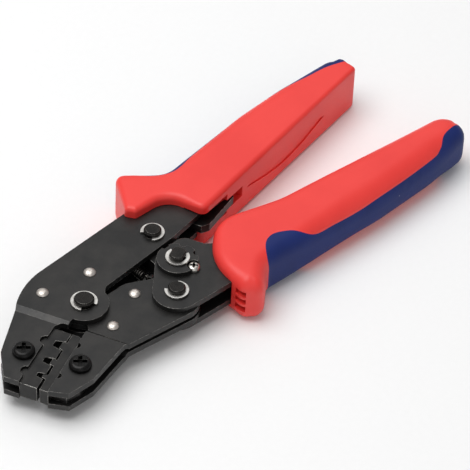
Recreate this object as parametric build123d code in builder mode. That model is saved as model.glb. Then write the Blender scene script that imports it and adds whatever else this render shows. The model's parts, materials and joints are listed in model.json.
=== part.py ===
from build123d import *
import math
import os

# ---------------------------------------------------------------------------
# Ratchet crimping tool for open-barrel terminals, millimetres, +Z up.
# The tool lies flat. All plan coordinates are measured from the jaw pivot:
# +X runs back towards the handles, +Y towards the fixed jaw, and Z = 0 is the
# middle of the plate stack. The part's origin is under the centre of its box.
# ---------------------------------------------------------------------------

# Driving dimensions: overall places
PIVOT_FROM_ORIGIN = (-52.185, 32.652)
GRIP_HALF = 9.3

# Plate stack
PLATE = 2.2
JAW_GAP = 1.5
JOGGLE = 1.1
RUN = 0.05
SLIP = 0.02
SEAT = 0.1

# Pivots and fasteners, plan positions from the jaw pivot
LINK_PIVOT = (38.97, -7.3)
HANDLE_PIVOT = (17.45, -25.5)
ECCENTRIC = (30.0, -20.3)
FRAME_RIVETS = ((-1.75, 14.19), (13.32, 4.06))
JAW_RIVETS = ((-3.92, -12.13), (12.55, -12.57))
UPPER_SCREW = (-27.46, 8.84)
LOWER_SCREW = (-25.33, -10.25)
LOCK_SCREW = (29.32, -26.45)
PAWL_PIVOT = (52.6, -2.3)
FRAME_TANG_PINS = ((72.0, -13.0), (96.0, -20.0))
HANDLE_TANG_PINS = ((60.0, -45.5), (92.0, -63.0))

# Pins, clips, rivets and screws
MAIN_PIN_R = 3.4
PIN_R = 3.0
PIN_GROOVE = 0.7
PIN_STUB = 1.35
PIN_HEAD = 1.4
PIN_HEAD_PROUD = 1.5
CLIP = 0.7
CLIP_LIFT = 0.2
CLIP_WIDTH = 1.75
CRANK_R = 2.2
CRANK_THROW = 0.4
LINK_EYE_PLAY = 1.25
RIVET_R = 1.5
RIVET_HEAD_R = 2.05
RIVET_HEAD = 1.15
RIVET_EDGE = 0.25
SCREW_R = 2.0
SCREW_HEAD_R = 3.75
SCREW_HEAD = 2.1
LOCK_SCREW_R = 1.2
LOCK_HEAD_R = 2.2
LOCK_HEAD = 1.9
WHEEL_R = 7.0
WHEEL = 1.8
WHEEL_FLATS = 2.35
NOTCH_COUNT = 3
NOTCH_STEP_DEG = 52
NOTCH_R = 1.3
ECCENTRIC_STUB = 1.7
TANG_PIN_R = 1.6
BUSH_R = 3.2

# Dies
TIP_X = -39.9
DIE_BACK = 0.4
DIE_END_X = -13.0
DIE_HALF = 3.1
DIE_FACE_Y = -1.45
NOTCH_Y = 4.75
LOWER_NOTCH_Y = -5.5
JAW_OPEN_AT_REST = 1.4
NESTS = ((-33.7, 2.6, 1.5, 2.6), (-26.9, 3.4, 2.1, 3.4), (-19.0, 4.0, 2.3, 3.4))
TONGUE_ENTRY = 1.5
TONGUE_PLAY = 0.22
RELIEFS = (-34.5, -19.7)
RELIEF_HALF = 1.9
RELIEF_DEEP = 1.8
LUG_PLAY = 0.25
LOWER_RELIEF_HALF = 1.2
LOWER_RELIEF_DEEP = 1.3
LOWER_RELIEF_SHIFT = 2.2
UPPER_TANG = [(-37.4, 0.0), (-37.4, 9.2), (-33.0, 12.0), (-17.2, 12.6), (-17.2, 0.0)]
LOWER_TANG = [(-37.4, -4.0), (-37.4, -11.0), (-33.0, -13.6), (-17.2, -15.6), (-17.2, -4.0)]

# Outline radii of the plates round their pivots
FRAME_LOBE = 8.3
JAW_LOBE = 8.1
JAW_TAIL_LOBE = 9.0
HANDLE_LOBE = 8.1
HANDLE_CROWN = 7.3

# Toggle link and ratchet
LINK_EYE_WALL = 1.75
LINK_HUB_R = 7.4
TOOTH_ROOT = 8.5
TOOTH_TIP = 9.6
TOOTH_PITCH_DEG = 7.5
TOOTH_COUNT = 9
TOOTH_FIRST_DEG = -42.0
PAWL_PLAY = 1.35
PAWL_HUB_R = 3.0
PAWL_NOSE_GAP = 0.3
LEVER_END_X = 70.7
PAWL_SLOT = (-3.1, 5.6)
LEVER_SLOT_PLAY = 0.25
LEVER_SLOT_TOP = 2.8

# Spacers between the plates, plan outlines
FRAME_SPACER_POINTS = ((20.0, 9.5), (20.0, 4.5), (28.0, -0.2), (30.7, 0.6), (30.4, 2.6), (22.5, 9.0))
JAW_SPACER_POINTS = ((-7.0, -10.5), (-7.0, -14.5), (12.0, -17.5), (19.5, -14.2), (19.5, -12.2), (14.0, -9.8))

# Springs
LEAF_HALF = 0.25
COIL_PITCH = 0.95
SPRING_WIRE = 0.35
SPRING_R = 1.45
HOOK_R = 1.3
SPRING_HOOKS = ((22.6, -13.2), (29.2, 1.2))
TAB_HALF = 0.7
TAB_R = 1.6
TAB_HOLE_R = 0.95

# Grips
GRIP_ROUND = 2.6
MOUTH_HALF = 4.6
MOUTH_RIB = 1.6
MOUTH_RIB_HALF = 0.5
PAWL_WINDOW = [(47.0, -12.0), (63.6, -12.0), (66.5, -17.0), (66.5, -40.0), (47.0, -40.0)]
LEVER_WINDOW = [(60.0, -17.0), (75.2, -17.0), (75.2, -40.0), (60.0, -40.0)]
MOUTH = [(20.0, -42.2), (33.0, -42.2), (36.0, -43.4), (36.0, -45.4), (33.0, -46.4), (20.0, -46.4)]

# Corners of each grip's plan outline, each with its rounding radius
FIXED_GRIP_CORNERS = (
    ((42.3, 4.3), 1.2),
    ((56.2, 14.6), 2.8),
    ((65.0, -0.9), 9.0),
    ((101.4, -11.3), 60.0),
    ((121.4, -19.1), 60.0),
    ((142.0, -29.3), 5.5),
    ((144.6, -34.0), 2.7),
    ((141.6, -40.4), 1.4),
    ((53.4, -19.9), 2.7),
    ((55.3, -5.4), 8.0),
    ((42.9, 0.6), 1.4),
)
MOVING_GRIP_CORNERS = (
    ((34.4, -29.9), 22.0),
    ((51.4, -25.2), 13.0),
    ((70.3, -40.7), 40.0),
    ((132.9, -75.3), 7.5),
    ((132.0, -87.6), 5.0),
    ((111.0, -81.6), 50.0),
    ((86.0, -71.3), 100.0),
    ((40.5, -48.2), 7.0),
    ((28.4, -52.4), 4.0),
    ((26.3, -45.0), 4.0),
)

jaw_outer = JAW_GAP / 2 + PLATE
frame_inner = jaw_outer
frame_outer = frame_inner + PLATE
cavity_half = frame_outer + SEAT
front_inner = frame_inner - JOGGLE
front_outer = frame_outer - JOGGLE
die_tang_half = front_inner - RUN
link_half = frame_inner - SEAT
pawl_half = frame_inner - PAWL_PLAY
lever_slot_half = pawl_half + LEVER_SLOT_PLAY
clip_low = frame_outer + CLIP_LIFT
wheel_low = frame_outer + RUN
wheel_top = wheel_low + WHEEL

TOOL = Plane(origin=(PIVOT_FROM_ORIGIN[0], PIVOT_FROM_ORIGIN[1], GRIP_HALF))


def level(height):
    """The plan plane at a height above the middle of the plate stack."""
    return TOOL.offset(height)


def polar(centre, radius, degrees):
    """The plan point at a radius and angle from a centre."""
    turn = math.radians(degrees)
    return (centre[0] + radius * math.cos(turn), centre[1] + radius * math.sin(turn))


def turned(point, degrees):
    """A plan point turned about the jaw pivot."""
    turn = math.radians(degrees)
    x = point[0] * math.cos(turn) - point[1] * math.sin(turn)
    y = point[0] * math.sin(turn) + point[1] * math.cos(turn)
    return (x, y)


def save(piece, node):
    """Label a finished piece and write it under its node name."""
    piece.part.label = node
    export_step(piece.part, f"parts/{node}.step")
    box = piece.part.bounding_box()
    print(node, round(piece.part.volume, 1), box.min, box.max)


os.makedirs("parts", exist_ok=True)


# ---------------------------------------------------------------------------
# Fixed frame plates
# ---------------------------------------------------------------------------
def frame_outline():
    """Plan outline of a fixed plate, from the jaw tip back to its tang."""
    with BuildLine() as outline:
        Line((TIP_X, NOTCH_Y), (TIP_X, 10.1))
        Line((TIP_X, 10.1), (-30.5, 15.6))
        Line((-30.5, 15.6), (-11.5, 19.4))
        ThreePointArc((-11.5, 19.4), (-2.5, 20.8), (6.0, 19.5))
        Polyline((6.0, 19.5), (41.0, 6.2), (55.0, 0.6), (68.0, -6.6), (104.0, -17.0))
        ThreePointArc((104.0, -17.0), (108.0, -23.0), (102.0, -27.0))
        Polyline((102.0, -27.0), (68.0, -20.0), (53.0, -17.4), (40.0, -14.1), (9.6, -3.45))
        Line((9.6, -3.45), polar((0, 0), FRAME_LOBE, -30))
        ThreePointArc(
            polar((0, 0), FRAME_LOBE, -30), polar((0, 0), FRAME_LOBE, -105), polar((0, 0), FRAME_LOBE, 178)
        )
        Line(polar((0, 0), FRAME_LOBE, 178), (-11.0, 0.7))
        ThreePointArc((-11.0, 0.7), (-11.5, 3.6), (-12.9, NOTCH_Y))
        start_x = -12.9
        for relief in reversed(RELIEFS):
            Line((start_x, NOTCH_Y), (relief + RELIEF_HALF, NOTCH_Y))
            left = relief - RELIEF_HALF
            ThreePointArc((relief + RELIEF_HALF, NOTCH_Y), (relief, NOTCH_Y + RELIEF_DEEP), (left, NOTCH_Y))
            start_x = left
        Line((start_x, NOTCH_Y), (TIP_X, NOTCH_Y))
    return outline.line


def joggled_profile(side, start_x, end_x, inner_front, inner_rear):
    """Side profile of a plate that steps between two levels, drawn in X and Z."""
    near, far, reach = -60.0, 130.0, PLATE
    points = [
        (near, inner_front),
        (start_x, inner_front),
        (end_x, inner_rear),
        (far, inner_rear),
        (far, inner_rear + reach),
        (end_x, inner_rear + reach),
        (start_x, inner_front + reach),
        (near, inner_front + reach),
    ]
    return [(x, side * z) for x, z in points]


def joggled_plate(side, outline, profile):
    """A plate stepped along X by its side profile and cut to its plan outline."""
    side_plane = Plane(origin=TOOL.origin, x_dir=(1, 0, 0), z_dir=(0, -1, 0))
    with BuildPart() as plate:
        with BuildSketch(side_plane):
            with BuildLine():
                Polyline(*profile, close=True)
            make_face()
        extrude(amount=100, both=True)
        with BuildSketch(level(-10)):
            with BuildLine():
                add(outline)
            make_face()
        extrude(amount=20, mode=Mode.INTERSECT)
    return plate


def drill(points, radius):
    """Cut through-holes at plan points from the current part."""
    with BuildSketch(level(-20)) as holes:
        with Locations(*points):
            Circle(radius)
    extrude(holes.sketch, amount=40, mode=Mode.SUBTRACT)


def fixed_plate(side):
    """One fixed plate: holes for pivots, rivets, tang pins and the die screw."""
    profile = joggled_profile(side, -11.8, -9.9, front_inner, frame_inner)
    blank = joggled_plate(side, frame_outline(), profile)
    with BuildPart() as plate:
        add(blank.part)
        drill([(0, 0)], MAIN_PIN_R + SLIP)
        drill([LINK_PIVOT], PIN_R + SLIP)
        drill([PAWL_PIVOT], TANG_PIN_R + SLIP)
        drill(FRAME_RIVETS, RIVET_R + SLIP)
        drill(FRAME_TANG_PINS, TANG_PIN_R + SLIP)
        drill([UPPER_SCREW], SCREW_R + SLIP)
    return plate


fixed_plate_front = fixed_plate(1)
save(fixed_plate_front, "fixed_plate_front")
fixed_plate_back = fixed_plate(-1)
save(fixed_plate_back, "fixed_plate_back")


# ---------------------------------------------------------------------------
# Rivets, pins, clips and screws
# ---------------------------------------------------------------------------
def rivet(points, half):
    """Round-headed rivets through a stack of the given half thickness."""
    tip = half + RIVET_HEAD
    rim = half + RIVET_EDGE
    shoulder = (RIVET_HEAD_R * 0.64, half + RIVET_HEAD * 0.8)
    with BuildPart() as rivets:
        for point in points:
            centre = TOOL.origin + Vector(*point, 0)
            with BuildSketch(Plane(origin=centre, x_dir=(1, 0, 0), z_dir=(0, -1, 0))):
                with BuildLine():
                    ThreePointArc((0, tip), shoulder, (RIVET_HEAD_R, rim))
                    Polyline((RIVET_HEAD_R, rim), (RIVET_HEAD_R, half), (RIVET_R, half), (RIVET_R, 0))
                    Polyline((RIVET_R, 0), (0, 0), (0, tip))
                make_face()
                mirror(about=Plane.XZ)
            revolve(axis=Axis(centre, (0, 0, 1)))
    return rivets


frame_rivet_front = rivet(FRAME_RIVETS[:1], frame_outer)
save(frame_rivet_front, "frame_rivet_front")
frame_rivet_rear = rivet(FRAME_RIVETS[1:], frame_outer)
save(frame_rivet_rear, "frame_rivet_rear")


def pivot_pin(point, radius):
    """A headed pin with a clip groove and a chamfered stub above it."""
    groove_top = clip_low + CLIP
    with BuildPart() as pin:
        with BuildSketch(level(-frame_outer - PIN_HEAD)):
            with Locations(point):
                Circle(radius + PIN_HEAD_PROUD)
        extrude(amount=PIN_HEAD)
        with BuildSketch(level(-frame_outer)):
            with Locations(point):
                Circle(radius)
        extrude(amount=frame_outer + clip_low)
        with BuildSketch(level(clip_low)):
            with Locations(point):
                Circle(radius - PIN_GROOVE)
        extrude(amount=CLIP)
        with BuildSketch(level(groove_top)):
            with Locations(point):
                Circle(radius)
        extrude(amount=PIN_STUB)
        ends = pin.faces().filter_by(Axis.Z).sort_by(Axis.Z)
        chamfer(ends[-1].edges(), 0.55)
        chamfer(ends[0].edges(), 0.4)
    return pin


def retaining_clip(point, shaft_r, height, opening_deg, gap_deg):
    """An E-clip: an open ring whose three prongs sit in the pin's groove."""
    seat_r = shaft_r - PIN_GROOVE + SLIP
    outer_r = seat_r + CLIP_WIDTH
    ring_r = seat_r + CLIP_WIDTH * 0.33
    reach = outer_r * 1.5
    half = gap_deg / 2
    with BuildPart() as clip:
        with BuildSketch(level(height)):
            with Locations(point):
                Circle(outer_r)
                Circle(ring_r, mode=Mode.SUBTRACT)
            for prong_deg in (180, 180 - 112, 180 + 112):
                with Locations(polar(point, seat_r + CLIP_WIDTH * 0.3, opening_deg + prong_deg)):
                    Rectangle(CLIP_WIDTH * 0.8, 1.3, rotation=opening_deg + prong_deg)
            with Locations(point):
                Circle(seat_r, mode=Mode.SUBTRACT)
            with BuildLine():
                Polyline(
                    point,
                    polar(point, reach, opening_deg - half),
                    polar(point, reach * 1.3, opening_deg),
                    polar(point, reach, opening_deg + half),
                    close=True,
                )
            make_face(mode=Mode.SUBTRACT)
        extrude(amount=CLIP)
    return clip


main_pivot_pin = pivot_pin((0, 0), MAIN_PIN_R)
save(main_pivot_pin, "main_pivot_pin")
main_pivot_clip = retaining_clip((0, 0), MAIN_PIN_R, clip_low, 232, 82)
save(main_pivot_clip, "main_pivot_clip")
link_pivot_pin = pivot_pin(LINK_PIVOT, PIN_R)
save(link_pivot_pin, "link_pivot_pin")
link_pivot_clip = retaining_clip(LINK_PIVOT, PIN_R, clip_low, 160, 82)
save(link_pivot_clip, "link_pivot_clip")
handle_pivot_pin = pivot_pin(HANDLE_PIVOT, PIN_R)
save(handle_pivot_pin, "handle_pivot_pin")
handle_pivot_clip = retaining_clip(HANDLE_PIVOT, PIN_R, clip_low, 62, 92)
save(handle_pivot_clip, "handle_pivot_clip")


def cross_recess(point, top, arm, width, deep, turn):
    """A cross-shaped driver recess cut down from a screw head's top."""
    with BuildSketch(level(top - deep)) as cross:
        with Locations(point):
            Rectangle(2 * arm, width, rotation=turn)
            Rectangle(width, 2 * arm, rotation=turn)
    extrude(cross.sketch, amount=deep + 1, mode=Mode.SUBTRACT)


def pan_screw(point, shank_r, head_r, head, seat, tail, turn):
    """A pan-head screw with a domed head on its seat and a plain shank."""
    with BuildPart() as screw:
        with BuildSketch(level(tail)):
            with Locations(point):
                Circle(shank_r)
        extrude(amount=seat - tail)
        with BuildSketch(level(seat)):
            with Locations(point):
                Circle(head_r)
        extrude(amount=head)
        crown = screw.faces().filter_by(Axis.Z).sort_by(Axis.Z)[-1]
        fillet(crown.edges(), head * 0.7)
        cross_recess(point, seat + head, head_r * 0.62, head_r * 0.36, head * 0.8, turn)
    return screw


upper_die_screw = pan_screw(UPPER_SCREW, SCREW_R, SCREW_HEAD_R, SCREW_HEAD, front_outer, -front_outer, 24)
save(upper_die_screw, "upper_die_screw")
lower_die_screw = pan_screw(LOWER_SCREW, SCREW_R, SCREW_HEAD_R, SCREW_HEAD, front_outer, -front_outer, 24)
save(lower_die_screw, "lower_die_screw")


# ---------------------------------------------------------------------------
# Frame spacer with the return spring's tab, and the tang pins and bushes
# ---------------------------------------------------------------------------
with BuildPart() as frame_spacer:
    with BuildSketch(level(-frame_inner)):
        with BuildLine():
            Polyline((-6.5, 13.0), (-4.5, 17.5), (2.5, 17.6), (22.0, 10.0), (22.0, 5.0), (14.5, 1.0))
            Line((14.5, 1.0), polar((0, 0), JAW_LOBE + 1.0, 3))
            ThreePointArc(
                *[polar((0, 0), JAW_LOBE + 1.0, degrees) for degrees in (3, 50, 112)]
            )
            Line(polar((0, 0), JAW_LOBE + 1.0, 112), (-6.5, 13.0))
        make_face()
    extrude(amount=2 * frame_inner)
    with BuildSketch(level(-TAB_HALF)):
        with BuildLine():
            Polyline(*FRAME_SPACER_POINTS, close=True)
        make_face()
        with Locations(SPRING_HOOKS[1]):
            Circle(TAB_R)
    extrude(amount=2 * TAB_HALF)
    drill([SPRING_HOOKS[1]], TAB_HOLE_R)
    drill(FRAME_RIVETS, RIVET_R + SLIP)
save(frame_spacer, "frame_spacer")


def tang_pins(points, length_half):
    """Flush pins pressed through both plates of a tang."""
    with BuildPart() as pins:
        with BuildSketch(level(-length_half)):
            with Locations(*points):
                Circle(TANG_PIN_R)
        extrude(amount=2 * length_half)
    return pins


def tang_bushes(points):
    """Bushes that hold the two plates of a tang apart."""
    with BuildPart() as bushes:
        with BuildSketch(level(-frame_inner)):
            with Locations(*points):
                Circle(BUSH_R)
                Circle(TANG_PIN_R + SLIP, mode=Mode.SUBTRACT)
        extrude(amount=2 * frame_inner)
    return bushes


frame_tang_pins = tang_pins(FRAME_TANG_PINS, frame_outer)
save(frame_tang_pins, "frame_tang_pins")
frame_tang_bushes = tang_bushes(FRAME_TANG_PINS)
save(frame_tang_bushes, "frame_tang_bushes")
pawl_pin = tang_pins([PAWL_PIVOT], frame_outer)
save(pawl_pin, "pawl_pin")
handle_tang_pins = tang_pins(HANDLE_TANG_PINS, frame_outer)
save(handle_tang_pins, "handle_tang_pins")
handle_tang_bushes = tang_bushes(HANDLE_TANG_PINS)
save(handle_tang_bushes, "handle_tang_bushes")


# ---------------------------------------------------------------------------
# Dies: the upper die has three nests, the lower die three tongues
# ---------------------------------------------------------------------------
def nest_outline(nest, shrink, low, high):
    """A tapered nest or tongue outline between two heights."""
    centre, mouth, roof, deep = nest
    slope = (mouth - roof) / 2 / deep
    wide_low = mouth / 2 - shrink - slope * (low - DIE_FACE_Y)
    wide_high = mouth / 2 - shrink - slope * (high - DIE_FACE_Y)
    left = [(centre - wide_low, low), (centre - wide_high, high)]
    return left + [(centre + wide_high, high), (centre + wide_low, low)]



with BuildPart() as upper_die:
    with BuildSketch(level(-DIE_HALF)):
        with BuildLine():
            Polyline(
                (TIP_X + DIE_BACK, DIE_FACE_Y),
                (TIP_X + DIE_BACK, NOTCH_Y - RUN),
                (DIE_END_X - 0.6, NOTCH_Y - RUN),
                (DIE_END_X, NOTCH_Y - 1.2),
                (DIE_END_X, DIE_FACE_Y),
                close=True,
            )
        make_face()
        for relief in RELIEFS:
            lug = RELIEF_HALF - LUG_PLAY
            lug_top = NOTCH_Y + RELIEF_DEEP - LUG_PLAY
            with BuildLine():
                Line((relief - lug, NOTCH_Y - 1), (relief + lug, NOTCH_Y - 1))
                Line((relief + lug, NOTCH_Y - 1), (relief + lug, NOTCH_Y))
                ThreePointArc(
                    (relief + lug, NOTCH_Y), (relief, lug_top), (relief - lug, NOTCH_Y)
                )
                Line((relief - lug, NOTCH_Y), (relief - lug, NOTCH_Y - 1))
            make_face()
    extrude(amount=2 * DIE_HALF)
    with BuildSketch(level(-die_tang_half)):
        with BuildLine():
            Polyline(*UPPER_TANG, close=True)
        make_face()
    extrude(amount=2 * die_tang_half)
    for nest in NESTS:
        with BuildSketch(level(-DIE_HALF - 1)):
            with BuildLine():
                Polyline(*nest_outline(nest, 0, DIE_FACE_Y - 0.1, DIE_FACE_Y + nest[3]), close=True)
            make_face()
        extrude(amount=2 * DIE_HALF + 2, mode=Mode.SUBTRACT)
    drill([UPPER_SCREW], SCREW_R + SLIP)
save(upper_die, "upper_die")

floor_tip = turned((TIP_X + DIE_BACK, DIE_FACE_Y - RUN), JAW_OPEN_AT_REST)
floor_end = turned((DIE_END_X, DIE_FACE_Y - RUN), JAW_OPEN_AT_REST)

with BuildPart() as lower_die:
    with BuildSketch(level(-DIE_HALF)):
        with BuildLine():
            Polyline(
                floor_tip,
                floor_end,
                (DIE_END_X, LOWER_NOTCH_Y + RUN + 1.1),
                (DIE_END_X - 0.7, LOWER_NOTCH_Y + RUN),
                (TIP_X + DIE_BACK, LOWER_NOTCH_Y + RUN),
                close=True,
            )
        make_face()
        for nest in NESTS:
            tongue = nest_outline(nest, TONGUE_PLAY, DIE_FACE_Y - 1.0, DIE_FACE_Y + TONGUE_ENTRY)
            with BuildLine():
                Polyline(*[turned(point, JAW_OPEN_AT_REST) for point in tongue], close=True)
            make_face()
    extrude(amount=2 * DIE_HALF)
    with BuildSketch(level(-die_tang_half)):
        with BuildLine():
            Polyline(*LOWER_TANG, close=True)
        make_face()
    extrude(amount=2 * die_tang_half)
    drill([LOWER_SCREW], SCREW_R + SLIP)
save(lower_die, "lower_die")


# ---------------------------------------------------------------------------
# Lower jaw plates, spacer and rivets
# ---------------------------------------------------------------------------
def jaw_outline():
    """Plan outline of a lower jaw plate, from its tip to the handle pivot."""
    tail_low = polar(HANDLE_PIVOT, JAW_TAIL_LOBE, -120.6)
    with BuildLine() as outline:
        Polyline((TIP_X, LOWER_NOTCH_Y), (-38.2, -12.2), (-29.0, -16.6), (-13.0, -19.1))
        ThreePointArc((-13.0, -19.1), (-11.2, -19.5), (-9.5, -20.1))
        Line((-9.5, -20.1), tail_low)
        ThreePointArc(tail_low, (21.5, -32.0), (24.2, -22.99))
        Polyline((24.2, -22.99), (21.4, -15.2), (16.6, -9.2))
        ThreePointArc((16.6, -9.2), (15.0, -7.6), (12.8, -6.5))
        Line((12.8, -6.5), polar((0, 0), JAW_LOBE, -30))
        ThreePointArc(polar((0, 0), JAW_LOBE, -30), polar((0, 0), JAW_LOBE, 90), polar((0, 0), JAW_LOBE, 212))
        start_x = RELIEFS[1] + LOWER_RELIEF_SHIFT + LOWER_RELIEF_HALF
        Polyline(polar((0, 0), JAW_LOBE, 212), (-8.4, LOWER_NOTCH_Y), (start_x, LOWER_NOTCH_Y))
        for relief in reversed(RELIEFS):
            middle = relief + LOWER_RELIEF_SHIFT
            right, left = middle + LOWER_RELIEF_HALF, middle - LOWER_RELIEF_HALF
            if start_x > right:
                Line((start_x, LOWER_NOTCH_Y), (right, LOWER_NOTCH_Y))
            ThreePointArc(
                (right, LOWER_NOTCH_Y), (middle, LOWER_NOTCH_Y - LOWER_RELIEF_DEEP), (left, LOWER_NOTCH_Y)
            )
            start_x = left
        Line((start_x, LOWER_NOTCH_Y), (TIP_X, LOWER_NOTCH_Y))
    return outline.line


def jaw_plate(side):
    """One lower jaw plate, stepped outwards to carry the die."""
    profile = joggled_profile(side, -10.6, -9.2, front_inner, JAW_GAP / 2)
    blank = joggled_plate(side, jaw_outline(), profile)
    with BuildPart() as plate:
        add(blank.part)
        drill([(0, 0)], MAIN_PIN_R + RUN)
        drill([HANDLE_PIVOT], PIN_R + SLIP)
        drill(JAW_RIVETS, RIVET_R + SLIP)
        drill([LOWER_SCREW], SCREW_R + SLIP)
    return plate


jaw_plate_front = jaw_plate(1)
save(jaw_plate_front, "jaw_plate_front")
jaw_plate_back = jaw_plate(-1)
save(jaw_plate_back, "jaw_plate_back")

with BuildPart() as jaw_spacer:
    with BuildSketch(level(-JAW_GAP / 2)):
        with BuildLine():
            Polyline(*JAW_SPACER_POINTS, close=True)
        make_face()
    extrude(amount=JAW_GAP)
    with BuildSketch(level(-TAB_HALF)):
        with BuildLine():
            Polyline((16.0, -15.0), (16.0, -11.4), (22.4, -11.6), (22.8, -14.8), close=True)
        make_face()
        with Locations(SPRING_HOOKS[0]):
            Circle(TAB_R)
    extrude(amount=2 * TAB_HALF)
    drill([SPRING_HOOKS[0]], TAB_HOLE_R)
    drill(JAW_RIVETS, RIVET_R + SLIP)
save(jaw_spacer, "jaw_spacer")

jaw_rivet_front = rivet(JAW_RIVETS[:1], jaw_outer)
save(jaw_rivet_front, "jaw_rivet_front")
jaw_rivet_rear = rivet(JAW_RIVETS[1:], jaw_outer)
save(jaw_rivet_rear, "jaw_rivet_rear")


# ---------------------------------------------------------------------------
# Toggle link with its ratchet teeth
# ---------------------------------------------------------------------------
crank_centre = (ECCENTRIC[0] + CRANK_THROW, ECCENTRIC[1])
eye_r = CRANK_R + LINK_EYE_PLAY
eye_hub_r = eye_r + LINK_EYE_WALL

with BuildPart() as toggle_link:
    with BuildSketch(level(-link_half)):
        with Locations(LINK_PIVOT):
            Circle(LINK_HUB_R)
        with Locations(crank_centre):
            Circle(eye_hub_r)
        with BuildLine():
            Polyline(
                polar(LINK_PIVOT, LINK_HUB_R, 150),
                polar(crank_centre, eye_hub_r, 150),
                polar(crank_centre, eye_hub_r, -30),
                polar(LINK_PIVOT, LINK_HUB_R, -30),
                close=True,
            )
        make_face()
        with BuildLine():
            first = TOOTH_FIRST_DEG
            last = TOOTH_FIRST_DEG + TOOTH_COUNT * TOOTH_PITCH_DEG
            teeth = [LINK_PIVOT, polar(LINK_PIVOT, TOOTH_ROOT, first)]
            for tooth in range(TOOTH_COUNT):
                start = first + tooth * TOOTH_PITCH_DEG
                teeth.append(polar(LINK_PIVOT, TOOTH_TIP, start + TOOTH_PITCH_DEG * 0.15))
                teeth.append(polar(LINK_PIVOT, TOOTH_TIP, start + TOOTH_PITCH_DEG * 0.35))
                teeth.append(polar(LINK_PIVOT, TOOTH_ROOT, start + TOOTH_PITCH_DEG))
            Polyline(*teeth, close=True)
        make_face()
    extrude(amount=2 * link_half)
    drill([LINK_PIVOT], PIN_R + RUN)
    drill([crank_centre], eye_r)
save(toggle_link, "toggle_link")


# ---------------------------------------------------------------------------
# Pawl with its release lever, and the leaf spring behind it
# ---------------------------------------------------------------------------
nose_r = TOOTH_TIP + PAWL_NOSE_GAP
nose = polar(LINK_PIVOT, nose_r, -10)

with BuildPart() as pawl:
    with BuildSketch(level(-pawl_half)):
        with Locations(PAWL_PIVOT):
            Circle(PAWL_HUB_R)
        with BuildLine():
            Polyline(
                (50.2, -3.5),
                (nose[0] + 0.9, nose[1] + 2.6),
                nose,
                (nose[0] + 1.2, nose[1] - 2.2),
                (52.6, -14.0),
                (52.2, -19.6),
                (54.5, -21.6),
                (LEVER_END_X, -23.8),
                (LEVER_END_X, -22.4),
                (61.0, -19.2),
                (58.2, -17.2),
                (57.2, -12.0),
                (56.3, -2.0),
                close=True,
            )
        make_face()
    extrude(amount=2 * pawl_half)
    drill([PAWL_PIVOT], TANG_PIN_R + RUN)
    fillet(pawl.edges().filter_by(Axis.Z).sort_by(Axis.Y)[0:2], 0.6)
save(pawl, "pawl")

leaf_root = (FRAME_TANG_PINS[0][0] - BUSH_R - LEAF_HALF - SLIP, FRAME_TANG_PINS[0][1])

with BuildPart() as pawl_spring:
    with BuildSketch(level(-pawl_half)):
        with BuildLine():
            Polyline(leaf_root, (65.6, -12.5), (61.2, -13.6), (58.45, -15.6))
            offset(amount=LEAF_HALF, kind=Kind.ARC)
        make_face()
    extrude(amount=2 * pawl_half)
save(pawl_spring, "pawl_spring")


# ---------------------------------------------------------------------------
# Return spring: a close-wound extension spring with a loop at each end
# ---------------------------------------------------------------------------
start_point, end_point = SPRING_HOOKS
span_x, span_y = end_point[0] - start_point[0], end_point[1] - start_point[1]
span = math.hypot(span_x, span_y)
along = (span_x / span, span_y / span, 0)
coil_start = 2 * HOOK_R - SPRING_WIRE
coil_length = span - 2 * coil_start


def on_spring(distance):
    """The point on the spring's axis at a distance from its first hook."""
    return TOOL.origin + Vector(start_point[0], start_point[1], 0) + Vector(*along) * distance


with BuildPart() as return_spring:
    with BuildLine() as coil:
        foot = on_spring(coil_start)
        Helix(pitch=COIL_PITCH, height=coil_length, radius=SPRING_R, center=foot, direction=along)
    with BuildSketch(Plane(origin=coil.line @ 0, z_dir=coil.line % 0)):
        Circle(SPRING_WIRE)
    sweep(path=coil.line, is_frenet=True)
    across = (-along[1], along[0], 0)
    for centre in (HOOK_R, span - HOOK_R):
        with BuildSketch(Plane(origin=on_spring(centre), x_dir=along, z_dir=(0, 0, 1))):
            with Locations((HOOK_R, 0)):
                Circle(SPRING_WIRE)
        revolve(axis=Axis(on_spring(centre), across))
save(return_spring, "return_spring")


# ---------------------------------------------------------------------------
# Moving handle plates
# ---------------------------------------------------------------------------
def handle_outline():
    """Plan outline of a moving handle plate, from its lobe back to its tang."""
    lobe_low = polar(HANDLE_PIVOT, HANDLE_LOBE, -116.1)
    lobe_high = polar(HANDLE_PIVOT, HANDLE_LOBE, 107.9)
    crown_start = polar(ECCENTRIC, HANDLE_CROWN, 107.9)
    crown_mid = polar(ECCENTRIC, HANDLE_CROWN, 88)
    crown_end = polar(ECCENTRIC, HANDLE_CROWN, 66)
    with BuildLine() as outline:
        ThreePointArc(lobe_low, polar(HANDLE_PIVOT, HANDLE_LOBE, 176), lobe_high)
        Line(lobe_high, crown_start)
        ThreePointArc(crown_start, crown_mid, crown_end)
        Line(crown_end, (39.0, -15.9))
        ThreePointArc((39.0, -15.9), (41.0, -17.3), (41.8, -19.6))
        Polyline((41.8, -19.6), (41.9, -25.5), (44.6, -29.6), (54.0, -34.6), (64.0, -42.0), (100.0, -62.0))
        ThreePointArc((100.0, -62.0), (101.5, -66.5), (97.0, -70.0))
        Polyline((97.0, -70.0), (60.0, -52.6), (44.0, -46.6), (33.5, -42.45), lobe_low)
    return outline.line


def handle_plate(side):
    """One moving handle plate."""
    with BuildPart() as plate:
        with BuildSketch(level(side * frame_inner)):
            with BuildLine():
                add(handle_outline())
            make_face()
        extrude(amount=side * PLATE)
        drill([HANDLE_PIVOT], PIN_R + RUN)
        drill([ECCENTRIC], PIN_R + SLIP)
        drill(HANDLE_TANG_PINS, TANG_PIN_R + SLIP)
        if side > 0:
            drill([LOCK_SCREW], LOCK_SCREW_R + SLIP)
    return plate


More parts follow.
